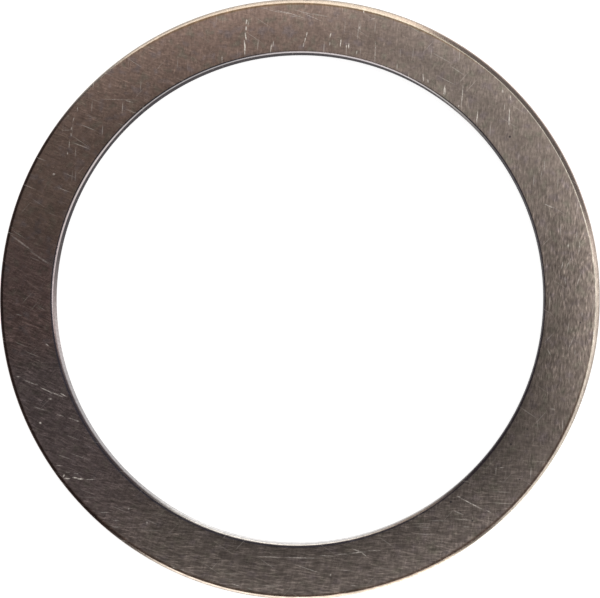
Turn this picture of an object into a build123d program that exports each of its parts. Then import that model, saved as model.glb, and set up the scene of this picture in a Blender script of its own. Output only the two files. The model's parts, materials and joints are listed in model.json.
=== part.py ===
from build123d import *
import os
from math import radians, tan

# Shim ring: one flat ring of ground steel that takes up an axial gap on a shaft.
# It lies on its lower face at Z = 0, with its bore along +Z. Every length is in millimetres.

# Driving sizes
BORE_DIAMETER = 45.0
RING_WIDTH = 5.0  # from the bore wall to the outer wall
THICKNESS = 2.0
BORE_BREAK = 0.28  # how much of each face the broken edge takes at the bore
RIM_BREAK = 0.36  # the same at the outer wall
BREAK_ANGLE = 30.0  # degrees between a broken edge and the face beside it
TUMBLED_RADIUS = 0.20  # tumbling rounds the two shoulders that each break leaves

PARTS_FOLDER = "parts"
NODE = "shim_ring"


def ring_section():
    """The cut through one side of the ring: a bar with broken and then rounded corners."""
    bore_wall = BORE_DIAMETER / 2
    outer_wall = bore_wall + RING_WIDTH
    drop = tan(radians(BREAK_ANGLE))
    lower_half = [
        (bore_wall, BORE_BREAK * drop),
        (bore_wall + BORE_BREAK, 0),
        (outer_wall - RIM_BREAK, 0),
        (outer_wall, RIM_BREAK * drop),
    ]
    upper_half = [(radius, THICKNESS - height) for radius, height in reversed(lower_half)]
    with BuildSketch(Plane.XZ) as section:
        with BuildLine():
            Polyline(*lower_half, *upper_half, close=True)
        make_face()
        fillet(section.vertices(), radius=TUMBLED_RADIUS)
    return section.sketch


def shim_ring():
    """The whole ring, turned about its axis in one piece."""
    with BuildPart() as ring:
        add(ring_section())
        revolve(axis=Axis.Z)
    ring.part.label = NODE
    return ring.part


os.makedirs(PARTS_FOLDER, exist_ok=True)
export_step(shim_ring(), f"{PARTS_FOLDER}/{NODE}.step")
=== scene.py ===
# %% [markdown]
# # A shim ring of ground steel
#
# One flat steel ring, 45 mm in the bore, 55 mm over the rim and 2 mm thick, lying on a pale floor.
# Its shape is one small section swept round a circle, and everything else is in the surface:
# the two lapped faces with their criss-cross grain, the broken and tumbled edges, and the
# scratches of a part that has been handled.
#
# The steps are: load the frame, draw and sweep the section with Geometry Nodes, unroll the
# surface into a map, build the steel, then the floor, the lights and the camera.

# %% Load the frame
import json
from math import cos, pi, radians, sin, tan

import bpy
import numpy as np
from mathutils import Matrix, Vector


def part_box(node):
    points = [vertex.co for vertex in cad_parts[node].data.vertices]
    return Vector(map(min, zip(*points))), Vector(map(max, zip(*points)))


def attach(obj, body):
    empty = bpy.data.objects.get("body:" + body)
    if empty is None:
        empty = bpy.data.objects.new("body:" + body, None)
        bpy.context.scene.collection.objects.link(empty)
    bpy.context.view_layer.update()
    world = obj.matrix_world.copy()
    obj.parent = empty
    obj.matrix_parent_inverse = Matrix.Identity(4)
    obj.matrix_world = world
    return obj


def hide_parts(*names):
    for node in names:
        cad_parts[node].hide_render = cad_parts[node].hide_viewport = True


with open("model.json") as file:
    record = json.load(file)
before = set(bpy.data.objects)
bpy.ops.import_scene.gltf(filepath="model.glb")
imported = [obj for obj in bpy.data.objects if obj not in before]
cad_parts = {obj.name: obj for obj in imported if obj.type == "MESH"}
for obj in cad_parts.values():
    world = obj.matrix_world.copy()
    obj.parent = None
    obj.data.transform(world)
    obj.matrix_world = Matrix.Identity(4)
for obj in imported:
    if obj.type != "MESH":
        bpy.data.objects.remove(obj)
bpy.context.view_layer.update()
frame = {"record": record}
MM = 0.001  # Blender works in metres, and the sizes below are in millimetres

# %% [markdown]
# ## The sizes
#
# The bore, the rim and the thickness come from the frame, so the looks can never drift away from
# the real part. The broken edges are this file's own copy of the part's: a cut at 30 degrees that
# takes 0.28 mm of the face at the bore and 0.36 mm at the rim, with tumbled shoulders. On the
# upper face both cuts were made a little off-centre, so they are wider on one side of the ring.

# %% Sizes of the ring
mounts = {mount["name"]: mount for mount in frame["record"]["mounts"]}
ring_low, ring_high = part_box("shim_ring")
RIM_RADIUS = ring_high[0] / MM
THICKNESS = ring_high[2] / MM
BORE_RADIUS = mounts["bore"]["dims"]["r_mm"]
BREAK_ANGLE = 30.0
WIDE_SIDES = {"Rim": 52.0, "Bore": 248.0}  # degrees from +X to the wider side of each upper break
SIZES = {  # all in mm
    "Bore Radius": (BORE_RADIUS, "from the axis to the bore wall"),
    "Rim Radius": (RIM_RADIUS, "from the axis to the outer wall"),
    "Thickness": (THICKNESS, "from the lower face to the upper face"),
    "Bore Break": (0.28, "how much of each face the broken edge takes at the bore"),
    "Rim Break": (0.36, "the same at the rim"),
    "Shoulder Radius": (0.20, "the tumbled round on each of the eight corners"),
    "Row Spacing": (0.36, "the widest strip that a flat is cut into"),
    "Face Crown": (0.026, "how much lower each face is at its edges than in its middle"),
    "Rim Lean": (0.27, "how far off-centre the upper rim break was cut"),
    "Rim Widening": (-0.10, "how much wider that break is all round"),
    "Rim Limit": (-0.09, "the least that its lean and widening add up to"),
    "Bore Lean": (0.20, "the same three for the upper bore break"),
    "Bore Widening": (-0.14, ""),
    "Bore Limit": (-0.21, ""),
    "Edge Waver": (0.022, "how much hand finishing moves the rim shoulder"),
    "Nick Depth": (0.07, "how deep the few small dents near the edges are"),
}
print("bore", BORE_RADIUS, "rim", round(RIM_RADIUS, 3), "thickness", round(THICKNESS, 3))

# %% [markdown]
# ## Helpers for building node trees
#
# A node tree is a recipe. It could be drawn by hand in the editor, but written down it can be
# read and changed line by line. `tree` is always the tree being built. `feed` gives a socket a
# plain value or another step's result, `node` adds a step, and the rest add one step of
# arithmetic and hand back its result.

# %% Helpers
def feed(socket, value):
    if isinstance(value, bpy.types.NodeSocket):
        tree.links.new(value, socket)
    else:
        socket.default_value = value


def node(kind, label, feeds=None, **options):
    made = tree.nodes.new(kind)
    made.label = label
    for option, value in options.items():
        setattr(made, option, value)
    for socket, value in (feeds or {}).items():
        feed(made.inputs[socket], value)
    return made


def sums(operation, *values, label="", clamp=False):
    step = node("ShaderNodeMath", label or operation.lower(), dict(enumerate(values)),
                operation=operation, use_clamp=clamp)
    return step.outputs["Value"]


def vectors(operation, label, feeds):
    """One Vector Math step. A length, a distance and a dot product are plain numbers."""
    step = node("ShaderNodeVectorMath", label, feeds, operation=operation)
    return step.outputs["Value" if operation in {"LENGTH", "DISTANCE", "DOT_PRODUCT"} else "Vector"]


def times(*values, label="", clamp=False):
    """All the values multiplied together."""
    result = values[0]
    for other in values[1:]:
        result = sums("MULTIPLY", result, other, label=label, clamp=clamp)
    return result


def plus_times(base, value, amount, label="", clamp=False):
    """The base, plus the value times the amount."""
    return sums("MULTIPLY_ADD", value, amount, base, label=label, clamp=clamp)


def plus(value, other, label=""):
    return sums("ADD", value, other, label=label)


def minus(value, other, label=""):
    return sums("SUBTRACT", value, other, label=label)


def divided(value, other, label="", clamp=False):
    return sums("DIVIDE", value, other, label=label, clamp=clamp)


def larger(value, other, label=""):
    return sums("MAXIMUM", value, other, label=label)


def blend(value, low, high, to_low=0.0, to_high=1.0, label=""):
    """Follows value smoothly from to_low to to_high while it goes from low to high."""
    feeds = {"Value": value, "From Min": low, "From Max": high, "To Min": to_low, "To Max": to_high}
    return node("ShaderNodeMapRange", label, feeds, interpolation_type="SMOOTHSTEP").outputs["Result"]


print("helpers ready")

# %% [markdown]
# ## The ring's recipe
#
# The real ring is turned, ground flat and tumbled. It could be modelled as a tube with bevels, but
# a bevel can't give the flat 30 degree cut with a small round on each side of it. So the section is
# drawn with its eight corners and swept round a circle. Every size is a named input of the tree,
# and the same recipe makes any ring of this kind.

# %% Name the recipe's inputs
tree = ring_tree = bpy.data.node_groups.new("Swept ring", "GeometryNodeTree")
ring_tree.interface.new_socket("Geometry", in_out="OUTPUT", socket_type="NodeSocketGeometry")
ring_inputs = {}
for name, kind, value, note in (
    *((name, "Float", value * MM, note) for name, (value, note) in SIZES.items()),
    ("Break Slope", "Float", tan(radians(BREAK_ANGLE)), "how far a broken edge drops for each metre across"),
    ("Stations", "Int", 864, "sections round the ring"),
    ("Seed", "Int", 7, "which waver and nicks"),
):
    socket = ring_tree.interface.new_socket(name, in_out="INPUT", socket_type="NodeSocket" + kind)
    socket.default_value = value
    socket.description = note
    ring_inputs[name] = (socket.identifier, value)
sizes = node("NodeGroupInput", "the sizes").outputs
print(len(ring_inputs), "inputs:", ", ".join(ring_inputs))

# %% [markdown]
# ### Drawing the section
#
# The corners go round from the lower bore corner. `radius` and `height` are worked out from the
# inputs, and an Index Switch hands each of the eight points its own corner. The fillet then rounds
# each corner, as tumbling does.

# %% Draw the section
bore_drop = times(sizes["Bore Break"], sizes["Break Slope"], label="drop at the bore")
rim_drop = times(sizes["Rim Break"], sizes["Break Slope"], label="drop at the rim")
bore_face = plus(sizes["Bore Radius"], sizes["Bore Break"], label="face starts")
rim_face = minus(sizes["Rim Radius"], sizes["Rim Break"], label="face ends")
bore_top = minus(sizes["Thickness"], bore_drop, label="top of the bore wall")
rim_top = minus(sizes["Thickness"], rim_drop, label="top of the outer wall")
corners = (
    (sizes["Bore Radius"], bore_drop), (bore_face, 0.0), (rim_face, 0.0), (sizes["Rim Radius"], rim_drop),
    (sizes["Rim Radius"], rim_top), (rim_face, sizes["Thickness"]), (bore_face, sizes["Thickness"]),
    (sizes["Bore Radius"], bore_top),
)
middle_radius = times(plus(sizes["Bore Radius"], sizes["Rim Radius"]), 0.5)
index = node("GeometryNodeInputIndex", "point number").outputs["Index"]
pick_corner = node("GeometryNodeIndexSwitch", "pick the corner", {"Index": index}, data_type="VECTOR")
while len(pick_corner.index_switch_items) < len(corners):
    pick_corner.index_switch_items.new()
for place, (radius, height) in enumerate(corners):
    out = minus(radius, middle_radius)
    down = times(height, -1.0, label="the sweep turns Y over")
    corner = node("ShaderNodeCombineXYZ", f"corner {place + 1}", {"X": out, "Y": down})
    feed(pick_corner.inputs[place + 1], corner.outputs["Vector"])

points = node("GeometryNodeMeshCircle", "eight points", {"Vertices": len(corners)}, fill_type="NONE")
placed_points = node("GeometryNodeSetPosition", "put them on the corners",
                     {"Geometry": points.outputs["Mesh"], "Position": pick_corner.outputs["Output"]})
outline = node("GeometryNodeMeshToCurve", "join them into an outline",
               {"Mesh": placed_points.outputs["Geometry"]})
rounded = node("GeometryNodeFilletCurve", "tumble the corners",
               {"Curve": outline.outputs["Curve"], "Radius": sizes["Shoulder Radius"], "Count": 4,
                "Limit Radius": True}, mode="POLY")
print("section drawn with", len(corners), "corners")

# %% [markdown]
# ### Rows along the flats, then the sweep
#
# Smooth shading bends light over one whole strip beside each rounded corner, so the flats get
# more strips. The number of cuts after each point follows from the distance to the next one. Each
# point remembers its row and its station round the ring, which the map needs later.

# %% Cut rows and sweep
here = node("GeometryNodeInputPosition", "this point").outputs["Position"]
count = node("GeometryNodeSplineLength", "points in the outline").outputs["Point Count"]
after = sums("MODULO", plus(index, 1.0), count, label="the next point")
there = node("GeometryNodeFieldAtIndex", "where it is", {"Value": here, "Index": after},
             data_type="FLOAT_VECTOR", domain="POINT")
gap = vectors("DISTANCE", "how far it is", {0: here, 1: there.outputs["Value"]})
cuts = sums("FLOOR", divided(gap, sizes["Row Spacing"]), label="cuts")
rows = node("GeometryNodeSubdivideCurve", "rows along the flats",
            {"Curve": rounded.outputs["Curve"], "Cuts": cuts})


def remember(name, curve):
    """Stores each point's number along the curve under this name."""
    number = node("GeometryNodeSplineParameter", f"{name} number").outputs["Index"]
    return node("GeometryNodeStoreNamedAttribute", f"remember {name}",
                {"Geometry": curve, "Name": name, "Value": number}, data_type="FLOAT", domain="POINT")


section = remember("section_row", rows.outputs["Curve"])
path = node("GeometryNodeCurvePrimitiveCircle", "the middle circle",
            {"Resolution": sizes["Stations"], "Radius": middle_radius}, mode="RADIUS")
upright = node("GeometryNodeSetCurveNormal", "keep the section upright",
               {"Curve": path.outputs["Curve"]}, mode="Z_UP")
circle = remember("station", upright.outputs["Curve"])
sweep = node("GeometryNodeCurveToMesh", "sweep the section",
             {"Curve": circle.outputs["Geometry"], "Profile Curve": section.outputs["Geometry"]})
print("sweep ready, so far", len(ring_tree.nodes), "steps")

# %% [markdown]
# ### Where a point lies
#
# A real ring isn't a perfect sweep, so the swept points are moved a little. For that, each point
# first has to know its radius, the way outward, how far it is across the ring and which face it
# belongs to.

# %% Where a point lies
spot = node("GeometryNodeInputPosition", "a point of the ring").outputs["Position"]
parts = node("ShaderNodeSeparateXYZ", "its parts", {"Vector": spot}).outputs
flat_spot = node("ShaderNodeCombineXYZ", "seen from above",
                 {"X": parts["X"], "Y": parts["Y"]}).outputs["Vector"]
spot_radius = vectors("LENGTH", "its radius", {0: flat_spot})
outward = vectors("NORMALIZE", "the way out", {0: flat_spot})
half_width = times(minus(sizes["Rim Radius"], sizes["Bore Radius"]), 0.5)
across = divided(minus(spot_radius, middle_radius), half_width, label="-1 at the bore, 1 at the rim")
upper = divided(parts["Z"], sizes["Thickness"], label="0 under, 1 above")
above = blend(upper, 0.3, 0.7, -1.0, 1.0, "which face it belongs to")
only_upper = larger(above, 0.0, label="upper face only")
print("each point knows its radius, its way out and its face")

# %% [markdown]
# ### Breaks that were cut off-centre
#
# The wheel that broke the two upper edges didn't run quite true, so each break is wider on one
# side. The shoulder moves in where the break is wider, and the wall below it starts lower.

# %% Off-centre breaks
FIRST_MOVED = 0.55  # how far across the ring the face starts to give way to a shoulder


def off_centre_cut(edge, face_end, sign):
    """A break's extra width here, how far this point is past its shoulder, and how near to it."""
    toward = radians(WIDE_SIDES[edge])
    reach = vectors("DOT_PRODUCT", f"{edge}: how far round", {0: outward, 1: (cos(toward), sin(toward), 0.0)})
    wider = plus_times(sizes[f"{edge} Widening"], reach, sizes[f"{edge} Lean"])
    wider = larger(wider, sizes[f"{edge} Limit"])
    wider = times(wider, only_upper, label=f"{edge}: extra width")
    width = times(sizes[f"{edge} Break"], sign)
    past = divided(minus(spot_radius, face_end), width, clamp=True,
                   label=f"{edge}: 0 at the shoulder, 1 at the wall")
    shoulder = divided(minus(face_end, middle_radius), half_width)
    near = blend(across, sign * FIRST_MOVED, shoulder, label=f"{edge}: rising to it")
    near = times(near, minus(1.0, past), label=f"{edge}: near the shoulder")
    return wider, past, near


rim_wider, past_rim, near_rim = off_centre_cut("Rim", rim_face, 1.0)
bore_wider, past_bore_edge, near_bore = off_centre_cut("Bore", bore_face, -1.0)
wall_drop = plus_times(times(rim_wider, past_rim), bore_wider, past_bore_edge)
wall_drop = times(wall_drop, sizes["Break Slope"], label="a wider break ends lower")
for edge in WIDE_SIDES:
    names = ("Break", "Lean", "Widening", "Limit")
    usual, lean, widening, limit = (SIZES[f"{edge} {name}"][0] for name in names)
    widths = [usual + max(widening + reach, limit) for reach in (-lean, lean)]
    print("upper", edge, "break in mm, narrow and wide:", [round(width, 2) for width in widths])

# %% [markdown]
# ### Waver, nicks and crown
#
# Hand finishing lets the rim shoulder waver by a few hundredths, handling leaves a few small
# nicks, and lapping takes a trace more off each face near its edges. Two noises with a fixed seed
# place them. Every move keeps inside the plain ring, so the ring never grows.

# %% Wear the edges
def edge_noise(label, size_mm, shift):
    """A seeded noise from -1 to 1 whose lumps are about size_mm long."""
    seeded = plus_times(shift, sizes["Seed"], 0.37)
    away = node("ShaderNodeCombineXYZ", f"{label}: seeded shift", {"Z": seeded}).outputs["Vector"]
    moved = vectors("ADD", f"{label}: its own place", {0: spot, 1: away})
    lumps = node("ShaderNodeTexNoise", label,
                 {"Vector": moved, "Scale": 1 / (size_mm * MM), "Detail": 1.5})
    return plus_times(-1.0, lumps.outputs["Fac"], 2.0)


waver = times(edge_noise("slow waver", 4.0, 0.11), sizes["Edge Waver"])
nick = blend(edge_noise("nick places", 0.9, 0.53), 0.46, 0.62, label="rare lumps only")
nick = times(nick, sizes["Nick Depth"], label="nick")
near_edge = blend(sums("ABSOLUTE", across), 0.80, 0.93, label="near either edge")
rim_pull = times(near_rim, plus(rim_wider, waver), label="rim shoulder moves in")
bore_push = times(near_bore, bore_wider, label="bore shoulder moves out")
crown = times(times(across, across), sizes["Face Crown"], label="crown")
sink = times(above, plus_times(crown, near_edge, nick), label="towards the middle")
sink = plus(sink, wall_drop)
slid = vectors("SCALE", "slide along the radius", {0: outward, "Scale": minus(bore_push, rim_pull)})
sunk = node("ShaderNodeCombineXYZ", "sink", {"Z": times(sink, -1.0)}).outputs["Vector"]
both_moves = vectors("ADD", "both moves", {0: slid, 1: sunk})
worn = node("GeometryNodeSetPosition", "wear the edges",
            {"Geometry": sweep.outputs["Mesh"], "Offset": both_moves})
print("edges worn, so far", len(ring_tree.nodes), "steps")

# %% [markdown]
# ### The end of the tree
#
# Smooth shading, real geometry rather than instances, and the steel on every face.

# %% Finish the recipe
steel = bpy.data.materials.new("ground steel")
smooth = node("GeometryNodeSetShadeSmooth", "smooth shading", {"Geometry": worn.outputs["Geometry"]})
real = node("GeometryNodeRealizeInstances", "make it real", {"Geometry": smooth.outputs["Geometry"]})
dressed = node("GeometryNodeSetMaterial", "ground steel",
               {"Geometry": real.outputs["Geometry"], "Material": steel})
node("NodeGroupOutput", "the ring", {"Geometry": dressed.outputs["Geometry"]})
print("recipe has", len(ring_tree.nodes), "steps")

# %% [markdown]
# ## Making the ring
#
# An empty mesh carries the recipe while it runs. Its result is then kept as a plain mesh and the
# modifier is taken off, so that the mesh itself is exactly what is seen.

# %% Run the recipe
def run_recipe(name, tree, inputs):
    holder = bpy.data.objects.new(name + "_recipe", bpy.data.meshes.new(name + "_start"))
    bpy.context.scene.collection.objects.link(holder)
    recipe = holder.modifiers.new("recipe", "NODES")
    recipe.node_group = tree
    for identifier, value in inputs.values():
        recipe[identifier] = value
    ready = bpy.context.evaluated_depsgraph_get()
    mesh = bpy.data.meshes.new_from_object(holder.evaluated_get(ready))
    holder.modifiers.remove(recipe)
    bpy.data.objects.remove(holder)
    mesh.name = name
    piece = bpy.data.objects.new(name, mesh)
    bpy.context.scene.collection.objects.link(piece)
    return piece


ring = run_recipe("ground_ring", ring_tree, ring_inputs)
mesh = ring.data
spots = np.zeros(len(mesh.vertices) * 3)
mesh.vertices.foreach_get("co", spots)
spots = spots.reshape(-1, 3)
print("ring made:", len(mesh.vertices), "points,", len(mesh.polygons), "faces")
print("box in mm:", (spots.min(0) / MM).round(3), (spots.max(0) / MM).round(3))

# %% [markdown]
# The faces must look outward. The signed volume is positive only if they do, and its size is a
# good check on the sweep: a plain ring of these sizes holds just under 1571 cubic millimetres.

# %% Check the faces
mesh.calc_loop_triangles()
triangles = np.zeros(len(mesh.loop_triangles) * 3, int)
mesh.loop_triangles.foreach_get("vertices", triangles)
a, b, c = (spots[triangles.reshape(-1, 3)[:, k]] for k in range(3))
volume = float(np.einsum("ij,ij->i", a, np.cross(b, c)).sum() / 6) / MM**3
if volume < 0:
    mesh.flip_normals()
print("triangles", len(mesh.loop_triangles), "volume in cubic mm", round(volume, 1))

# %% [markdown]
# ## Unrolling the surface into a map
#
# A painted surface needs a flat map of itself. An automatic unwrap would cut the ring anywhere, so
# the ring is unrolled like a strip of tape and cut into four lengths, laid one above the other.
# Across each strip runs the section, starting under the ring at the bore. The upper face gets
# more room than the rest, because it is what is looked at.

# %% How wide each row of the map is
HIDDEN_SHARE = 0.6  # how densely the underside and the walls are laid out, against the upper face
UPPER_FROM = 1.7  # mm above the floor, where the densely laid rows begin


def section_layout(spots, rows_of_points):
    """How far along the strip's width each row lies, from 0 to 1, and 1 again at the closing seam."""
    row_count = int(rows_of_points.max()) + 1
    where = np.zeros((row_count, 2))
    radius = np.hypot(spots[:, 0], spots[:, 1])
    for axis, values in enumerate((radius, spots[:, 2])):
        total = np.bincount(rows_of_points, weights=values, minlength=row_count)
        where[:, axis] = total / np.bincount(rows_of_points, minlength=row_count)
    step = np.linalg.norm(np.roll(where, -1, axis=0) - where, axis=1)
    height = (where[:, 1] + np.roll(where[:, 1], -1)) / 2
    step = step * np.where(height > UPPER_FROM * MM, 1.0, HIDDEN_SHARE)
    return np.concatenate([[0.0], np.cumsum(step)]) / step.sum()


def whole_numbers(name):
    values = np.zeros(len(mesh.vertices), np.float32)
    mesh.attributes[name].data.foreach_get("value", values)
    return np.rint(values).astype(int)


row_of = whole_numbers("section_row")
station_of = whole_numbers("station")
layout = section_layout(spots, row_of)
stations = int(station_of.max()) + 1
last_row = int(row_of.max())
print(last_row + 1, "rows and", stations, "stations")

# %% [markdown]
# Every face of the sweep has four corners. On the faces that close the ring or the section, the
# corners that lie back at number 0 get the number after the last, or the map would fold over.

# %% Lay the map out
STRIPS = 4
MARGIN = 0.008  # bare space round each strip
corner_point = np.zeros(len(mesh.loops), int)
mesh.loops.foreach_get("vertex_index", corner_point)
quad = corner_point.reshape(-1, 4)
quad_row = row_of[quad]
closes_section = quad_row.max(1, keepdims=True) == last_row
quad_row = np.where((quad_row == 0) & closes_section, last_row + 1, quad_row)
quad_station = station_of[quad]
closes_ring = quad_station.max(1, keepdims=True) == stations - 1
quad_station = np.where((quad_station == 0) & closes_ring, stations, quad_station)

per_strip = stations / STRIPS
strip = np.floor((quad_station.min(1, keepdims=True) + 0.5) / per_strip)
along = (quad_station - strip * per_strip) / per_strip
strip_height = 1.0 / STRIPS
u = MARGIN + along * (1 - 2 * MARGIN)
v = strip * strip_height + MARGIN + layout[quad_row] * (strip_height - 2 * MARGIN)
bake_map = mesh.uv_layers.new(name="OFBake")
bake_map.data.foreach_set("uv", np.stack([u, v], -1).astype(np.float32).ravel())
for name in ("section_row", "station"):
    mesh.attributes.remove(mesh.attributes[name])
print("map laid out in", STRIPS, "strips of", int(per_strip), "stations")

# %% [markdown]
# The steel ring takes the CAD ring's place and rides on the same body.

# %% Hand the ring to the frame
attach(ring, "root")
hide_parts("shim_ring")
print(ring.name, "stands for shim_ring")

# %% [markdown]
# ## Ground steel
#
# The steel is a metal with a warm grey colour. All that makes it look real is variation: in the
# colour, in the roughness and in the height of the surface. A painted image could carry all that,
# but it would blur close up. So everything is worked out from the ring's own coordinates in
# millimetres, and the grain has its true scale from any side.

# %% Where a point of the steel lies
steel.use_nodes = True
tree = steel.node_tree
surface = tree.nodes["Principled BSDF"]
place = node("ShaderNodeTexCoord", "the ring's own place").outputs["Object"]
in_mm = vectors("SCALE", "in millimetres", {"Vector": place, "Scale": 1 / MM})
xyz = node("ShaderNodeSeparateXYZ", "x, y, z", {"Vector": in_mm}).outputs
x, y, z = xyz["X"], xyz["Y"], xyz["Z"]
radius = sums("SQRT", plus_times(times(y, y), x, x), label="radius")
print("a point of the steel knows its place and its radius")

# %% [markdown]
# ### Sides of the ring
#
# Hands, oil and the lapping plate leave each side of a ring different, and the light falls on each
# side differently, which is painted here as well. Painting by hand could mark the sides, but an angle
# is simpler: the cosine between a point and a heading tells how far round the point lies. So `side`
# is 1 where the ring lies toward an angle and fades to 0 past a half angle, and `add_sides` adds an
# amount on each of several sides.

# %% Sides of the ring
def cosine_toward(toward):
    """1 on the part of the ring that lies toward this angle, and -1 on the part across from it."""
    along_x = times(x, cos(radians(toward)))
    return divided(plus_times(along_x, y, sin(radians(toward))), radius)


def side(toward, half_angle, soft=25, label=""):
    """1 on the part of the ring that lies toward this angle, fading to 0 past half_angle."""
    low = cos(radians(half_angle + soft))
    high = cos(radians(max(half_angle - soft, 0)))
    return blend(cosine_toward(toward), low, high, label=label or f"side toward {toward}")


def add_sides(value, *sides):
    """Each side is given by its angle, its half angle, its softness, how much it adds, and a label."""
    for toward, half_angle, soft, amount, label in sides:
        value = plus_times(value, side(toward, half_angle, soft, label), amount)
    return value


right_side, top_side, left_side, low_side = side(-5, 62), side(97, 52), side(185, 62), side(272, 48)
print("four sides marked")

# %% [markdown]
# ### Lapping grain
#
# Lapping leaves thousands of short strokes. Each could be a line of its own, but a noise stretched
# along a heading looks just like them: long cells one way, a tenth of a millimetre the other.
# A slow drift of the place makes the strokes curve a little.

# %% Noise drawn out along a heading
def turned(heading, length, width, shift, label, place_in_mm):
    """The place in mm, turned by heading and squeezed so that one cell is length by width."""
    feeds = {"Vector": place_in_mm, "Location": (shift, -0.7 * shift, 0.31 * shift),
             "Rotation": (0.0, 0.0, radians(heading)), "Scale": (length, width, 0.9)}
    return node("ShaderNodeMapping", f"{label}: turned", feeds, vector_type="TEXTURE").outputs["Vector"]


def noise(heading, length, width, shift, detail, label, place_in_mm=in_mm):
    """Noise from -1 to 1, with lumps of length by width that run along a heading."""
    feeds = {"Vector": turned(heading, length, width, shift, label, place_in_mm),
             "Scale": 1.0, "Detail": detail, "Roughness": 0.6}
    return plus_times(-1.0, node("ShaderNodeTexNoise", label, feeds).outputs["Fac"], 2.0)


drift = node("ShaderNodeTexNoise", "slow drift", {"Vector": in_mm, "Scale": 0.45})
drifting = vectors("MULTIPLY_ADD", "so that strokes curve a little",
                   {0: drift.outputs["Color"], 1: (0.35, 0.35, 0.0), 2: in_mm})


def strokes(heading, length, width, shift):
    return noise(heading, length, width, shift, 1.0, f"strokes at {heading} degrees", drifting)


print("stroke noise ready")

# %% [markdown]
# Different parts of this ring were rubbed in different directions, so each side has headings of
# its own. Broad strokes go both lighter and darker than the steel, and hairlines are the thin
# bright crests of a finer noise. The shift only takes each noise from another place.

# %% Grain of each side
BROAD_WIDTH = 0.16
HAIR_WIDTH = 0.12
HAIR_WEIGHT = 0.9


def side_grain(weight, broad, broad_length, hair, hair_length, strength, shift):
    """One side's strokes and hairlines, faded in by the side's weight. Each heading has a share."""
    total = 0.0
    for number, (heading, share) in enumerate(broad):
        total = plus_times(total, strokes(heading, broad_length, BROAD_WIDTH, shift + 3.1 * number), share)
    for number, (heading, share) in enumerate(hair):
        crest = strokes(heading, hair_length, HAIR_WIDTH, shift + 1.7 + 2.3 * number)
        total = plus_times(total, blend(crest, 0.15, 0.65), HAIR_WEIGHT * share)
    return times(total, times(weight, strength))


grain = 0.0
for given in (
    # side, broad strokes (heading and share), their length, hairlines, their length, strength, shift
    (right_side, ((90, 1.2), (72, 0.7)), 0.62, ((92, 1.0), (80, 0.8)), 1.0, 0.74, 1.0),
    (top_side, ((-5, 0.8), (86, 1.0)), 0.42, ((84, 1.0), (-15, 0.7)), 1.0, 0.64, 11.0),
    (left_side, ((-24, 1.2), (58, 0.5)), 0.70, ((-22, 1.0), (0, 0.9)), 1.6, 1.15, 23.0),
    (low_side, ((-4, 1.4), (74, 0.5)), 0.85, ((3, 1.1), (-11, 1.0)), 1.7, 1.28, 37.0),
):
    grain = plus(grain, side_grain(*given))
evenness = add_sides(1.0, (358, 14, 18, 0.80, "more streaky side"), (196, 8, 16, 0.40, "coarser side"),
                     (147, 22, 14, -0.35, "smoother side"))
grain = times(grain, evenness, label="grain")
print("grain built,", len(tree.nodes), "steps so far")

# %% [markdown]
# ### Random short scratches
#
# A Voronoi pattern drops one point in each cell. Squeezed like the grain, every point becomes a
# dash, and the cell's own random colour decides whether the dash is kept and how bright it is.

# %% Random dashes
def dashes(heading, length, width, shift, kept, label):
    feeds = {"Vector": turned(heading, length, width, shift, label, in_mm), "Scale": 1.0}
    cells = node("ShaderNodeTexVoronoi", label, feeds, feature="F1")
    body = blend(cells.outputs["Distance"], 0.34, 0.10, label=f"{label}: dash")
    chance = node("ShaderNodeSeparateColor", f"{label}: chance", {"Color": cells.outputs["Color"]})
    return times(body, blend(chance.outputs["Red"], 1.0 - kept, 1.0, label=f"{label}: keep few"))


random_marks = 0.0
for given, where in (
    # heading, length, width, shift, share kept, label, and then where or how strong
    ((86, 2.2, 0.12, 2.0, 0.09, "upright dashes"), larger(right_side, top_side)),
    ((-22, 3.2, 0.12, 7.0, 0.13, "sloping dashes"), left_side),
    ((-4, 3.4, 0.11, 19.0, 0.13, "level dashes"), low_side),
    ((-34, 4.0, 0.09, 29.0, 0.05, "crossing scratches"), 0.8),
    ((47, 3.0, 0.09, 41.0, 0.035, "crossing scratches, other way"), 0.7),
):
    random_marks = larger(random_marks, times(dashes(*given), where))
print("random dashes built")
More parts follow.
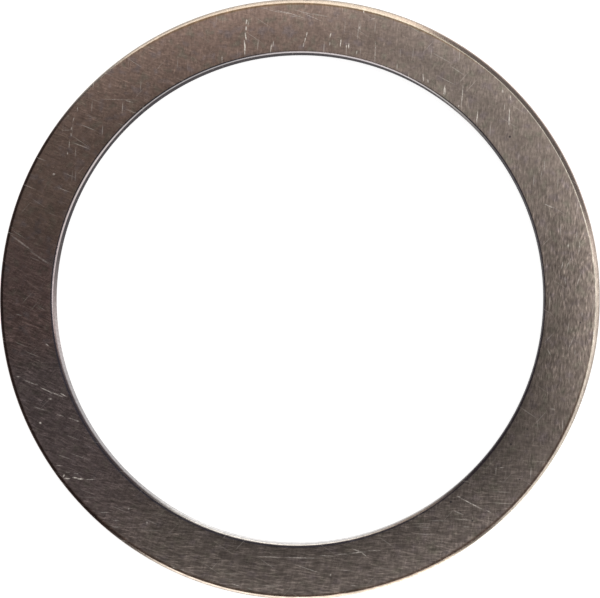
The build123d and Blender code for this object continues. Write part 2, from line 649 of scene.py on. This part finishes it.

# %% [markdown]
# ### Scratches that can be counted
#
# The strongest scratches are listed one by one. Each line gives where its middle is (the angle
# round the ring and the radius), which way it runs, how long and wide it is, and how bright. A scratch
# could be a thin strip of geometry, but it is only rubbed into the surface, so it is painted.

# %% List the scratches
SCRATCHES = (
    # angle, radius, heading, length, width, brightness
    (100.3, 25.75, 80, 0.55, 0.11, 1.0), (100.6, 25.15, 88, 0.5, 0.11, 1.0),
    (101.0, 24.45, 98, 0.85, 0.11, 1.0), (101.6, 23.6, 97, 1.2, 0.11, 1.0),
    (101.9, 23.1, 93, 0.8, 0.1, 0.9), (99.9, 25.6, 76, 0.5, 0.08, 0.5),
    (107.4, 22.95, 90, 0.8, 0.08, 0.5), (95.8, 23.0, 81.5, 0.95, 0.09, 0.7),
    (95.2, 23.35, 84, 0.65, 0.09, 0.7), (87.7, 24.1, 78, 0.55, 0.09, 0.8),
    (92.3, 26.2, -14, 2.4, 0.07, 0.32), (90.2, 25.9, -20, 2.6, 0.07, 0.32),
    (88.4, 26.15, -16, 2.2, 0.07, 0.36), (86.8, 25.75, -24, 2.4, 0.07, 0.3),
    (85.2, 25.95, -12, 2.0, 0.07, 0.32), (58.5, 25.5, -30, 2.2, 0.08, 0.26),
    (54.4, 25.3, -35, 2.0, 0.08, 0.26), (54.9, 24.0, -28, 1.8, 0.08, 0.22),
    (3.0, 25.6, 70, 1.8, 0.07, 0.35), (6.5, 24.8, 62, 1.6, 0.07, 0.32),
    (9.5, 26.0, 84, 1.5, 0.08, 0.4), (350.0, 25.2, 66, 1.8, 0.07, 0.28),
    (88.0, 23.6, 78, 0.5, 0.09, 0.8), (88.3, 23.15, 79, 0.5, 0.09, 0.7),
    (82.5, 24.2, 76, 0.6, 0.09, 0.7), (82.4, 23.4, 84, 0.4, 0.09, 0.8),
    (80.0, 23.6, 83, 0.8, 0.1, 0.9), (78.1, 23.46, 86, 0.6, 0.1, 0.9),
    (78.6, 23.4, 88, 0.35, 0.09, 0.7), (76.0, 23.0, 82, 0.5, 0.08, 0.5),
    (72.0, 23.5, 88, 2.3, 0.06, 0.5), (76.7, 25.3, 88, 0.3, 0.09, 0.6),
    (76.7, 24.7, 88, 1.2, 0.06, 0.3), (76.6, 26.85, 90, 0.25, 0.09, 0.8),
    (74.5, 26.4, 20, 0.6, 0.08, 0.4), (66.2, 22.95, 90, 0.7, 0.08, 0.45),
    (59.7, 23.1, 95, 0.8, 0.1, 0.8), (58.4, 23.05, 98, 0.4, 0.1, 0.8),
    (54.2, 23.16, 80, 1.0, 0.08, 1.0), (53.8, 23.08, 85, 0.8, 0.08, 0.9),
    (96.0, 26.7, -12, 1.2, 0.05, 0.35), (94.2, 26.35, -12, 1.5, 0.05, 0.35),
    (92.4, 26.15, -12, 1.4, 0.05, 0.3), (90.6, 25.8, -12, 1.3, 0.05, 0.35),
    (88.8, 25.5, -12, 1.1, 0.05, 0.3), (50.15, 23.7, 85, 2.4, 0.07, 0.65),
    (49.3, 22.8, 85, 0.2, 0.1, 0.8), (44.5, 23.18, 84, 1.3, 0.09, 0.8),
    (39.8, 25.3, 86.7, 1.95, 0.09, 0.95), (42.6, 26.58, 90, 0.5, 0.11, 0.7),
    (44.6, 26.5, 90, 0.4, 0.12, 0.5), (42.0, 25.6, 88, 0.8, 0.06, 0.35),
    (27.45, 25.44, 85, 1.2, 0.07, 0.45), (26.0, 24.8, 82, 1.0, 0.07, 0.35),
    (19.3, 24.35, -25, 1.1, 0.08, 0.5), (12.0, 26.0, 85, 0.8, 0.08, 0.3),
    (10.2, 25.05, 88, 0.4, 0.1, 0.55), (6.3, 24.25, 80, 0.8, 0.08, 0.5),
    (3.0, 24.4, 95, 0.8, 0.07, 0.3), (139.4, 26.76, 85, 0.5, 0.08, 0.5),
    (141.6, 26.41, 75, 0.6, 0.08, 0.4), (143.2, 26.07, 80, 0.35, 0.09, 0.6),
    (144.3, 25.74, 95, 0.35, 0.09, 0.6), (144.0, 26.3, 2, 1.2, 0.06, 0.3),
    (146.1, 25.38, 88, 0.9, 0.07, 0.4), (147.9, 25.05, 88, 0.35, 0.09, 0.7),
    (153.2, 25.2, 30, 0.3, 0.2, 1.0), (132.1, 24.6, -2, 4.2, 0.05, 0.3),
    (130.6, 23.8, -15, 1.0, 0.07, 0.4), (168.9, 25.95, -36, 3.0, 0.16, 0.3),
    (171.3, 24.05, -34, 3.0, 0.15, 0.28), (183.7, 25.7, -15, 0.8, 0.09, 0.35),
    (182.5, 23.6, -33, 1.2, 0.08, 0.25), (189.9, 25.75, -22, 1.5, 0.07, 0.32),
    (190.9, 23.4, -35, 0.5, 0.1, 0.5), (196.0, 26.7, -5, 0.45, 0.1, 0.5),
    (197.7, 25.85, -22, 1.5, 0.09, 0.55), (198.6, 25.25, -10, 0.3, 0.14, 0.6),
    (200.5, 24.58, -24, 1.4, 0.09, 0.7), (201.4, 24.22, -10, 0.3, 0.13, 0.75),
    (202.3, 23.76, -22, 1.4, 0.09, 0.58), (202.9, 23.25, -27, 0.9, 0.11, 0.65),
    (202.5, 24.55, -8, 0.45, 0.13, 0.7), (203.5, 25.8, -17, 1.5, 0.09, 0.45),
    (206.7, 24.3, -13, 0.8, 0.07, 0.45), (206.2, 26.28, -3, 0.32, 0.18, 1.0),
    (208.4, 23.56, -17, 0.7, 0.07, 0.45), (209.4, 23.2, -17, 0.6, 0.12, 0.65),
    (215.4, 26.76, -3, 0.6, 0.09, 0.5), (214.6, 25.9, -19, 1.7, 0.07, 0.35),
    (216.5, 24.7, -19, 2.2, 0.07, 0.38), (217.5, 26.46, -3, 0.6, 0.09, 0.4),
    (218.8, 25.9, -10, 0.5, 0.09, 0.45), (217.6, 26.95, 60, 0.34, 0.14, 0.95),
    (218.4, 26.86, -4, 0.65, 0.14, 1.0), (219.3, 26.22, -5, 0.6, 0.13, 0.85),
    (220.2, 25.9, -3, 0.75, 0.14, 1.0), (221.6, 25.25, 0, 1.0, 0.11, 0.5),
    (228.3, 26.46, -2, 1.0, 0.1, 0.45), (231.7, 24.72, 90, 0.25, 0.12, 0.6),
    (231.2, 26.27, -5, 0.8, 0.08, 0.4), (232.0, 26.74, -3, 1.0, 0.1, 0.4),
    (237.5, 25.3, -1, 3.0, 0.05, 0.3), (236.6, 24.76, 85, 0.3, 0.11, 0.55),
    (245.8, 27.1, -20, 0.7, 0.08, 0.5), (247.5, 26.98, -15, 0.6, 0.08, 0.4),
    (258.2, 26.8, -14, 1.0, 0.1, 0.5), (261.0, 26.9, -12, 0.6, 0.08, 0.4),
    (264.0, 23.8, -2, 2.4, 0.07, 0.45), (271.0, 23.75, -1, 3.6, 0.08, 0.58),
    (276.6, 23.7, -3, 1.6, 0.08, 0.5), (280.0, 23.75, 2, 1.4, 0.08, 0.4),
    (283.5, 23.9, 6, 1.8, 0.09, 0.55), (287.0, 24.1, 3, 1.6, 0.07, 0.4),
    (283.6, 23.75, -20, 1.3, 0.09, 0.5), (284.7, 24.2, -38, 0.9, 0.08, 0.5),
    (272.4, 24.75, -18, 2.8, 0.07, 0.45), (277.0, 25.45, 75, 0.3, 0.12, 0.6),
    (281.2, 26.7, -8, 0.7, 0.09, 0.4), (302.6, 24.15, -1, 2.5, 0.06, 0.3),
    (306.8, 24.5, -23, 1.1, 0.08, 0.55), (306.3, 25.9, 0, 0.7, 0.08, 0.35),
    (308.9, 23.37, -15, 0.45, 0.1, 0.6), (310.2, 24.7, -27, 2.9, 0.09, 0.62),
    (311.7, 26.1, -28, 0.6, 0.08, 0.5), (320.0, 24.2, 3, 0.6, 0.08, 0.5),
    (336.0, 25.3, -10, 0.6, 0.16, 0.18), (347.3, 23.4, -62, 0.8, 0.08, 0.3),
    (348.3, 25.7, 85, 0.6, 0.09, 0.35), (356.0, 25.9, 90, 0.5, 0.09, 0.4),
)

PITS = (
    # angle, radius, across
    (36.5, 24.23, 0.27), (306.8, 23.3, 0.24), (308.0, 25.8, 0.2), (320.5, 26.1, 0.18),
    (325.2, 23.6, 0.24), (329.9, 24.1, 0.18), (354.4, 25.8, 0.18), (242.3, 22.8, 0.22),
)
print(len(SCRATCHES), "scratches and", len(PITS), "pits listed")

# %% [markdown]
# Each mark is a round soft spot, squeezed to the scratch's length and width and turned its way.
# The render engine has limited room for one material: with two dozen marks more than these, the
# whole ring goes black.

# %% Place the scratches
SCRATCH_WIDTH = 0.60  # makes every scratch finer or broader at once
SCRATCH_DEPTH = 0.6  # mm up and down that a mark reaches, so it stays on the upper face
DASH_BRIGHTNESS = 0.48  # the random dashes, against the placed scratches


def one_mark(angle_degrees, radius_mm, heading, length, width, brightness):
    """A soft streak: 1 in its middle and 0 at its rim, only on the upper face."""
    turn = radians(angle_degrees)
    feeds = {"Vector": in_mm, "Location": (radius_mm * cos(turn), radius_mm * sin(turn), THICKNESS),
             "Rotation": (0.0, 0.0, radians(heading)),
             "Scale": (length / 2, width * SCRATCH_WIDTH, SCRATCH_DEPTH)}
    own_place = node("ShaderNodeMapping", f"mark at {angle_degrees:.0f}", feeds, vector_type="TEXTURE")
    streak = node("ShaderNodeTexGradient", "soft streak", {"Vector": own_place.outputs["Vector"]},
                  gradient_type="SPHERICAL")
    return times(times(streak.outputs["Fac"], 2.0, clamp=True), brightness)


placed = 0.0
for given in SCRATCHES:
    placed = larger(placed, one_mark(*given))
breaks_up = blend(strokes(64, 0.22, 0.22, 53.0), -0.35, 0.30, 0.45, 1.30, "broken along its length")
placed = times(placed, breaks_up, clamp=True)
scratches = larger(placed, times(random_marks, DASH_BRIGHTNESS), label="all scratches")
pits = 0.0
for angle_degrees, radius_mm, across_mm in PITS:
    pits = larger(pits, one_mark(angle_degrees, radius_mm, 0.0, across_mm, 0.8 * across_mm, 1.0))
print("marks placed,", len(tree.nodes), "steps so far")

# %% [markdown]
# ### Stains and mottling
#
# Oil and fingers leave slow changes of tone, and the metal itself is mottled and specked. All of
# these are plain noises that differ in size, from 5 mm down to a fifth of a millimetre.

# %% Clouds
def cloud(size, shift, detail, label):
    return noise(0, size, size, shift, detail, label)


slow_tone = cloud(5.0, 61.0, 2.0, "slow tone")
mottle = cloud(0.75, 67.0, 3.0, "mottling")
fine_mottle = cloud(0.22, 73.0, 2.0, "fine mottling")
specks = blend(cloud(0.20, 71.0, 1.0, "speck places"), 0.62, 0.78, label="dark specks")
hue_cloud = cloud(1.1, 79.0, 1.5, "moss and violet")
print("clouds built")

# %% [markdown]
# ### How far from an edge
#
# The shoulders of the broken edges hold thin lines of painted shade and painted highlight, dark or
# bright as the light would fall on the edges. A line could be drawn in geometry, but it has no height,
# so it is painted at its distance from the edge.
# The distances follow the off-centre breaks of the shape, or the lines would lie beside the edges.

# %% Distances from the edges
def off_centre(edge):
    """How much wider a broken edge is on this side of the ring: the same sum as in the shape."""
    lean, widening, limit = (SIZES[f"{edge} {what}"][0] for what in ("Lean", "Widening", "Limit"))
    wider = plus_times(widening, cosine_toward(WIDE_SIDES[edge]), lean)
    return times(larger(wider, limit), upper_half)


upper_half = blend(z, 0.9, 1.1, label="upper half")
past_bore = minus(radius, BORE_RADIUS, "past the bore wall")
rim_wider = off_centre("Rim")
past_shoulder = plus(rim_wider, minus(radius, RIM_RADIUS - SIZES["Rim Break"][0]), "past the rim shoulder")
bore_wider = off_centre("Bore")
into_bore = minus(bore_wider, minus(past_bore, SIZES["Bore Break"][0]), "into the bore")
over_edge = plus_times(into_bore, minus(THICKNESS, z), 0.20, "over the bore edge and down the wall")
print("distances from both edges known, in mm")

# %% [markdown]
# `band` picks a strip between two distances, soft on both sides. At the bore, the dark line of
# painted shade is wider on one side of the ring, and on another the light line of painted highlight
# lies nearer the face.

# %% Lines along the edges
def band(value, start, full, end_full, end, label):
    """1 between full and end_full, fading to 0 at start and end."""
    fades_in = blend(value, start, full, label=f"{label}: in")
    return times(fades_in, blend(value, end, end_full, label=f"{label}: out"))


in_bore = blend(into_bore, -0.05, 0.02, label="inside the bore shoulder")
# the dark line by the bore is painted shade along the bore shoulder
line_reach = times(over_edge, add_sides(1.0, (236, 56, 16, -0.42, "where the dark line is wider")))
bore_shade_line = band(line_reach, -0.04, 0.01, 0.08, 0.12, "dark line by the bore")
# the light line in the bore is a painted highlight on the edge
light_reach = plus_times(over_edge, side(97, 40, 14, "where the light line is nearer the face"), 0.08)
bore_highlight_band = band(light_reach, 0.09, 0.13, 0.22, 0.27, "light line in the bore")
bore_depth = blend(light_reach, 0.22, 0.28, label="deeper in the bore")
# painted shade: a thin dark line along the rim shoulder
rim_shade_line = band(past_shoulder, -0.24, -0.10, 0.02, 0.08, "line by the rim")
# painted highlight: the bright crest of the rim break
crest_highlight_band = band(past_shoulder, -0.06, -0.01, 0.03, 0.09, "crest of the rim")
rim_break_area = blend(past_shoulder, -0.02, 0.08, label="rim break")
print("lines along the edges ready")

# %% [markdown]
# ### Lighter and darker
#
# The tone is counted in stops, as on a camera, where one stop more is twice as bright. Stops
# simply add up: the grain, the mottling, the specks and a painted sheen each add their own. The outer
# part of the face is painted brighter, a painted sheen for the light on its crown, and a strip by the
# bore on one side is lighter too.

# %% Tone
MIDDLE_RADIUS = (BORE_RADIUS + RIM_RADIUS) / 2
HALF_WIDTH = (RIM_RADIUS - BORE_RADIUS) / 2
stops = times(grain, 0.75, label="stops lighter or darker")
for part, amount in ((mottle, 0.40), (fine_mottle, 0.42), (slow_tone, 0.25), (specks, -0.9)):
    stops = plus_times(stops, part, amount)
# painted sheen: the outer part of the face lighter, less so on the left, for the light on its crown
outer_sheen = times(divided(minus(radius, MIDDLE_RADIUS), HALF_WIDTH),
                   plus_times(1.0, left_side, -0.85), label="the outer part is painted brighter")
sheen_share = add_sides(0.42, (0, 10, 20, 0.28, "more sheen on the right"), (196, 20, 14, 0.22, "and the left"))
stops = plus_times(stops, outer_sheen, sheen_share)
darker_side = larger(side(130, 14, 18), side(325, 8, 14))
stops = plus(plus_times(stops, darker_side, -0.22), -0.08)
bore_glow = plus_times(times(blend(past_bore, 0.65, 0.30), 0.20), blend(past_bore, 1.7, 0.7), 0.26)
stops = plus_times(stops, bore_glow, side(36, 48, 20, "where it is lighter by the bore"))
stops = add_sides(stops, (206, 28, 12, 0.07, "paler left"), (303, 12, 14, 0.06, "paler lower right"),
                  (158, 12, 10, 0.06, "paler upper left"))
top_glow = times(blend(past_bore, 1.9, 0.9), 0.14)
stops = plus_times(stops, side(106, 8, 10, "paler by the bore at the top"), top_glow)
smooth_edges = larger(rim_break_area, in_bore, "smoother edges")
stops = times(stops, plus_times(1.0, smooth_edges, -0.65))
tone = sums("POWER", 2.0, stops, label="tone")
print("tone built,", len(tree.nodes), "steps so far")

# %% [markdown]
# ### Colours
#
# The steel's own colour leans browner, greyer, mauve or red from side to side, and thin films of
# moss and violet lie over it in patches. `coats` lays one layer over another, each by the product
# of its shares.

# %% Colours of the face
STEEL_COLOUR = (0.216, 0.174, 0.149, 1.0)
BROWN_SIDE = (0.229, 0.157, 0.128, 1.0)
GREY_SIDE = (0.217, 0.178, 0.158, 1.0)
MAUVE_SIDE = (0.220, 0.167, 0.160, 1.0)
RED_SIDE = (0.222, 0.148, 0.133, 1.0)
VIOLET_FILM = (0.205, 0.165, 0.164, 1.0)
MOSS_FILM = (0.188, 0.170, 0.135, 1.0)


def coats(colour, *layers):
    """Covers the colour with one layer after another: each has a colour, a label and its shares."""
    for layer, label, *shares in layers:
        mix = node("ShaderNodeMix", label, {0: times(*shares), 6: colour, 7: layer}, data_type="RGBA")
        colour = mix.outputs[2]
    return colour


colour = coats(
    STEEL_COLOUR,
    (BROWN_SIDE, "browner side", side(138, 50, 36)),
    (GREY_SIDE, "greyer side", side(284, 40, 20)),
    (MAUVE_SIDE, "mauve side", side(208, 18, 18)),
    (RED_SIDE, "red side", side(180, 4, 13)),
    (VIOLET_FILM, "violet film", blend(hue_cloud, 0.05, 0.45), 0.6),
    (MOSS_FILM, "moss film", add_sides(0.6, (205, 85, 20, -0.20, "less moss on the left")),
     blend(hue_cloud, -0.05, -0.45)),
)
print("face coloured")

# %% [markdown]
# The rim's broken edge is burnished brighter than the face. A thin line of painted shade runs by
# its shoulder, gold on one side and brown on another, and the break is painted darker on the lower
# right. Its crest and its outer part carry painted highlights in places, and a dark coat of painted
# shade lies over it on the left.

# %% Colours of the rim
BURNISHED = (0.400, 0.345, 0.300, 1.0)
RUSTY_RIM = (0.450, 0.355, 0.310, 1.0)
# a painted highlight for the rim
CREST_HIGHLIGHT = (0.72, 0.66, 0.55, 1.0)
# the next two colours are painted shade along the rim shoulder
GOLD_SHADE = (0.170, 0.104, 0.050, 1.0)
BROWN_SHADE = (0.085, 0.048, 0.032, 1.0)
# a dark coat of painted shade for the rim on the left
RIM_SHADE_COAT = (0.062, 0.038, 0.032, 1.0)

# where the painted highlight on the rim crest lies
crest_share = larger(times(side(-2, 12, 14), 0.50), times(side(42, 36, 10), 0.62))
outer_rim = blend(past_shoulder, 0.12, 0.20, label="outer part of the rim break")
rim_and_shoulder = blend(past_shoulder, -0.13, -0.01, label="rim break and its shoulder")
colour = coats(
    colour,
    # painted shade along the rim shoulder, gold above and brown below
    (GOLD_SHADE, "gold shade by the rim", rim_shade_line, side(88, 32, 12), 0.70),
    (BROWN_SHADE, "brown line by the rim", rim_shade_line, side(284, 62, 10), 0.70),
    (BURNISHED, "burnished rim", rim_break_area),
    (RUSTY_RIM, "browner rim", rim_break_area, side(38, 22, 16)),
    # painted shade: the rim break darker at the lower right
    (BROWN_SHADE, "duller rim", rim_break_area, side(294, 10, 14), 0.52),
    # painted highlights on the crest of the rim and on its outer part
    (CREST_HIGHLIGHT, "bright crest of the rim", crest_highlight_band, crest_share),
    (CREST_HIGHLIGHT, "painted highlight on the outer rim", outer_rim, side(302, 28, 14), 0.85),
    # painted shade: the rim break and its shoulder darkened on the left
    (RIM_SHADE_COAT, "painted shade on the rim", side(188, 48, 9), rim_and_shoulder),
)
print("rim coloured")

# %% [markdown]
# The bore edge changes all the way round, because the light falls on it differently from side to
# side, and that light and shade is painted: a painted highlight under the shoulder at the upper left,
# broken up by chips at the lower left, a painted reflection at the bottom, a dark line of painted
# shade by the shoulder, and elsewhere a dark non-metal coat of painted shade.

# %% Colours of the bore edge
# a painted highlight for the bore edge
BORE_HIGHLIGHT = (0.620, 0.545, 0.555, 1.0)
# a painted reflection for the bottom of the bore
PAINTED_REFLECTION = (0.60, 0.58, 0.57, 1.0)
# painted shade along the bore edge, and also the colour of the real pits
NAVY_LINE = (0.026, 0.024, 0.031, 1.0)
# a dark coat of painted shade for the bore
BORE_SHADE_COAT = (0.034, 0.025, 0.031, 1.0)

chips = blend(cloud(0.14, 91.0, 1.0, "chips in the bore edge"), -0.25, 0.15, 0.45, 1.0, "chips")
dimmer = add_sides(1.0, (151, 23, 14, -0.38, "dimmer on the left"))
# painted highlight along the bore edge, dimmer on the left and broken up by chips at the lower left
highlight_in_bore = times(side(122, 64, 9), dimmer, bore_highlight_band)
chipped_highlight = times(blend(over_edge, 0.18, 0.42), side(209, 23, 8), chips, 0.35)
highlight_in_bore = larger(highlight_in_bore, chipped_highlight, "light line")
# painted reflection: the bore edge at the bottom made bright, as the light it mirrors would make it
bore_reflection = times(blend(over_edge, 0.15, 0.24), side(262, 20, 16), in_bore, label="painted reflection")
line_strength = add_sides(0.95, (74, 18, 14, -0.62, "where the dark line is weaker"))
# painted shade: a dark non-metal coat low in the bore at the top and over the bore edge on the right
low_bore_shade = times(bore_depth, side(111, 65, 14), label="painted shade low in the bore")
bore_edge_shade = times(in_bore, side(-4, 48, 10), label="painted shade on the bore edge")
painted_shade_coat = times(larger(low_bore_shade, bore_edge_shade), in_bore, label="painted shade coat in the bore")
colour = coats(
    colour,
    # painted highlight under the bore shoulder
    (BORE_HIGHLIGHT, "light line in the bore", highlight_in_bore),
    # painted reflection at the bottom of the bore
    (PAINTED_REFLECTION, "painted reflection in the bore", bore_reflection),
    # painted shade: the light line dimmed at the top and the bore edge darkened on the left
    (NAVY_LINE, "dull light line", side(116, 10, 12), 0.55, bore_highlight_band),
    (NAVY_LINE, "grey bore edge", blend(over_edge, 0.10, 0.20), side(215, 17, 12), 0.60),
    # painted shade: the dark line along the bore shoulder
    (NAVY_LINE, "dark line by the bore", bore_shade_line, line_strength),
    # painted shade: the dark non-metal coat in the bore
    (BORE_SHADE_COAT, "painted shade coat in the bore", painted_shade_coat),
)
print("bore edge coloured")

# %% [markdown]
# Last, the tone multiplies the colour, the scratches mix in bright bare metal and the pits go dark.

# %% Join tone, colour and marks
BARE_METAL = (0.95, 0.88, 0.80, 1.0)
colour = vectors("SCALE", "tone times colour", {"Vector": colour, "Scale": tone})
colour = coats(colour, (BARE_METAL, "bare scratches", scratches, 0.9), (NAVY_LINE, "dark pits", pits, 0.85))
feed(surface.inputs["Base Color"], colour)
print("base colour ready,", len(tree.nodes), "steps so far")

# %% [markdown]
# ### Roughness and height
#
# The lapped face spreads light softly, a scratch spreads it more, and a burnished edge less. The
# heights are tiny: strokes about a thousandth of a millimetre deep, random dashes a little more.
# The placed scratches are rubbed rather than cut, so they change the colour and not the height.

# %% Roughness and relief
ROUGHNESS = 0.285
RELIEF_DEPTH = 0.0012  # mm
RELIEF_STRENGTH = 0.5
DASH_DEPTH = -1.2  # the random dashes, against the strokes
FILM_SPECULAR = 0.05

# the lines of painted highlight and painted reflection in the bore are made smoother too, as well as the
# burnished rim
burnished = larger(rim_break_area, larger(highlight_in_bore, bore_reflection))
rough = ROUGHNESS
for part, amount in ((grain, -0.035), (mottle, 0.03), (scratches, 0.30), (burnished, -0.07)):
    rough = plus_times(rough, part, amount)
# the coat of painted shade in the bore is no metal, and rougher
feed(surface.inputs["Roughness"], plus_times(rough, painted_shade_coat, 0.22, clamp=True))
feed(surface.inputs["Metallic"], minus(1.0, painted_shade_coat, "the shade coat is no metal"))
surface.inputs["Specular IOR Level"].default_value = FILM_SPECULAR
height = plus_times(grain, random_marks, DASH_DEPTH, "height")
relief = node("ShaderNodeBump", "relief",
              {"Height": height, "Strength": RELIEF_STRENGTH, "Distance": RELIEF_DEPTH * MM})
feed(surface.inputs["Normal"], relief.outputs["Normal"])
print("steel has", len(tree.nodes), "steps")

# %% [markdown]
# ## The floor
#
# A plain pale floor. To the camera, and in reflections, it is nearly white by itself, and the
# lamps add the rest, so the ring's soft shadow still shows on it.

# %% Floor
FLOOR_HALF = 1.5
FLOOR_GAP = 0.01  # mm between the floor and the ring's underside
FLOOR_GLOW = 0.80
FLOOR_GREY = 0.60
floor_mesh = bpy.data.meshes.new("floor")
sides = ((-1, -1), (1, -1), (1, 1), (-1, 1))
floor_corners = [(FLOOR_HALF * i, FLOOR_HALF * j, -FLOOR_GAP * MM) for i, j in sides]
floor_mesh.from_pydata(floor_corners, [], [(0, 1, 2, 3)])
floor = bpy.data.objects.new("floor", floor_mesh)
bpy.context.scene.collection.objects.link(floor)

pale = bpy.data.materials.new("pale floor")
pale.use_nodes = True
tree = pale.node_tree
floor_surface = tree.nodes["Principled BSDF"]
seen_by = node("ShaderNodeLightPath", "who is looking").outputs
seen = larger(seen_by["Is Camera Ray"], seen_by["Is Glossy Ray"])
seen = larger(seen, seen_by["Is Transmission Ray"])
for socket, value in (
    ("Base Color", (FLOOR_GREY, FLOOR_GREY, FLOOR_GREY, 1.0)),
    ("Roughness", 0.9),
    ("Specular IOR Level", 0.0),
    ("Emission Color", (1.0, 1.0, 1.0, 1.0)),
    ("Emission Strength", times(seen, FLOOR_GLOW)),
):
    feed(floor_surface.inputs[socket], value)
floor.data.materials.append(pale)
print("floor laid")

# %% [markdown]
# ## The room
#
# A dim grey room, with a pale glow along the horizon like the foot of a studio sweep. A picture
# of a studio could stand here, but two levels of grey are all that this metal shows.

# %% Room
ROOM_LEVEL = 0.19
ROOM_COLOUR = (0.97, 0.98, 1.0, 1.0)
GLOW_FADES = (sin(radians(11)), sin(radians(4)))  # from dim to full glow, by the height of a ray's way
room = bpy.data.worlds.new("studio")
bpy.context.scene.world = room
room.use_nodes = True
tree = room.node_tree
backdrop = tree.nodes["Background"]
way = node("ShaderNodeTexCoord", "the way a ray goes").outputs["Generated"]
way_up = node("ShaderNodeSeparateXYZ", "its parts", {"Vector": way}).outputs["Z"]
feed(backdrop.inputs["Strength"], blend(way_up, *GLOW_FADES, ROOM_LEVEL, 1.0, "horizon"))
feed(backdrop.inputs["Color"], ROOM_COLOUR)
print("room ready")

# %% [markdown]
# ## The lights
#
# One big soft box hangs over the upper right of the ring. Its near edge runs slantwise across, so
# the faces go from bright to dark along the ring. A weaker panel fills the lower right, and three
# low cards light the broken edges. A lamp's `level` is how bright it looks, where 1 is white.

# %% Lamps
AXIS = (0.0, 0.0, 0.0)


def soft_card(name, middle, width, height, level, colour=(1.0, 1.0, 1.0)):
    """A rectangular lamp in mm, facing the foot of the ring's axis, that the camera doesn't see."""
    lamp = bpy.data.lights.new(name, "AREA")
    lamp.shape = "RECTANGLE"
    lamp.size = width * MM
    lamp.size_y = height * MM
    lamp.energy = level * pi * lamp.size * lamp.size_y
    lamp.color = colour
    card = bpy.data.objects.new(name, lamp)
    bpy.context.scene.collection.objects.link(card)
    card.location = Vector(middle) * MM
    card.rotation_mode = "QUATERNION"
    card.rotation_quaternion = (Vector(AXIS) - Vector(middle)).to_track_quat("-Z", "Y")
    card.visible_camera = False
    return card


def around(angle_degrees, distance, height):
    return (distance * cos(radians(angle_degrees)), distance * sin(radians(angle_degrees)), height)


def overhead(name, toward, near_edge, reach, width, level, colour=(1.0, 1.0, 1.0)):
    """A level lamp over one side of the ring, facing down, with its near edge across the ring."""
    middle = around(toward, near_edge + reach / 2, OVERHEAD_HEIGHT)
    card = soft_card(name, middle, reach, width, level, colour)
    card.rotation_mode = "XYZ"
    card.rotation_euler = (0.0, 0.0, radians(toward))


OVERHEAD_HEIGHT = 180.0
# name, angle to its side, how far its near edge lies past the axis, reach, width, level, colour
overhead("soft box", 61.0, 18.0, 210.0, 420.0, 0.93)
overhead("fill panel", 290.0, 24.0, 160.0, 260.0, 0.34, (1.0, 0.98, 0.96))
# name, middle (angle, distance, height), width, height, level, colour
soft_card("warm card", around(98.0, 170.0, 66.0), 200.0, 70.0, 2.3, (1.0, 0.95, 0.85))
soft_card("lower card", around(268.0, 190.0, 66.0), 240.0, 70.0, 2.6, (1.0, 0.97, 0.92))
soft_card("right card", around(344.0, 190.0, 85.0), 250.0, 70.0, 1.5, (1.0, 0.98, 0.96))
print(len(bpy.data.lights), "lamps")

# %% [markdown]
# ## The camera
#
# It looks almost straight down, from a hand's breadth above, leaning a little to the lower right,
# so that a sliver of the bore wall shows at the upper left. The lens is worked out so that the
# ring fills the picture.

# %% Camera
CAMERA_DISTANCE = 150.0
CAMERA_LEAN = radians(5.0)
LEAN_AZIMUTH = radians(-38.0)
LOOK_AT = Vector((0.354, -0.294, THICKNESS))
PICTURE_FILL = 1.0047  # the ring's width against the picture's, measured at its upper face

back = Vector((sin(CAMERA_LEAN) * cos(LEAN_AZIMUTH), sin(CAMERA_LEAN) * sin(LEAN_AZIMUTH), cos(CAMERA_LEAN)))
right = Vector((0.0, 1.0, 0.0)).cross(back).normalized()
up = back.cross(right)
eye = bpy.data.cameras.new("camera")
eye.sensor_width = 36.0
eye.lens = eye.sensor_width * PICTURE_FILL * CAMERA_DISTANCE / (2 * RIM_RADIUS)
eye.clip_start = 0.01
eye.clip_end = 20.0
camera = bpy.data.objects.new("camera", eye)
bpy.context.scene.collection.objects.link(camera)
camera.location = (LOOK_AT + back * CAMERA_DISTANCE) * MM
camera.rotation_mode = "QUATERNION"
turn = np.array([right, up, back]).T
camera.rotation_quaternion = Matrix(turn.tolist()).to_quaternion()
bpy.context.scene.camera = camera
bpy.context.scene.view_settings.view_transform = "Standard"
print("lens", round(eye.lens, 1), "mm at", CAMERA_DISTANCE, "mm")
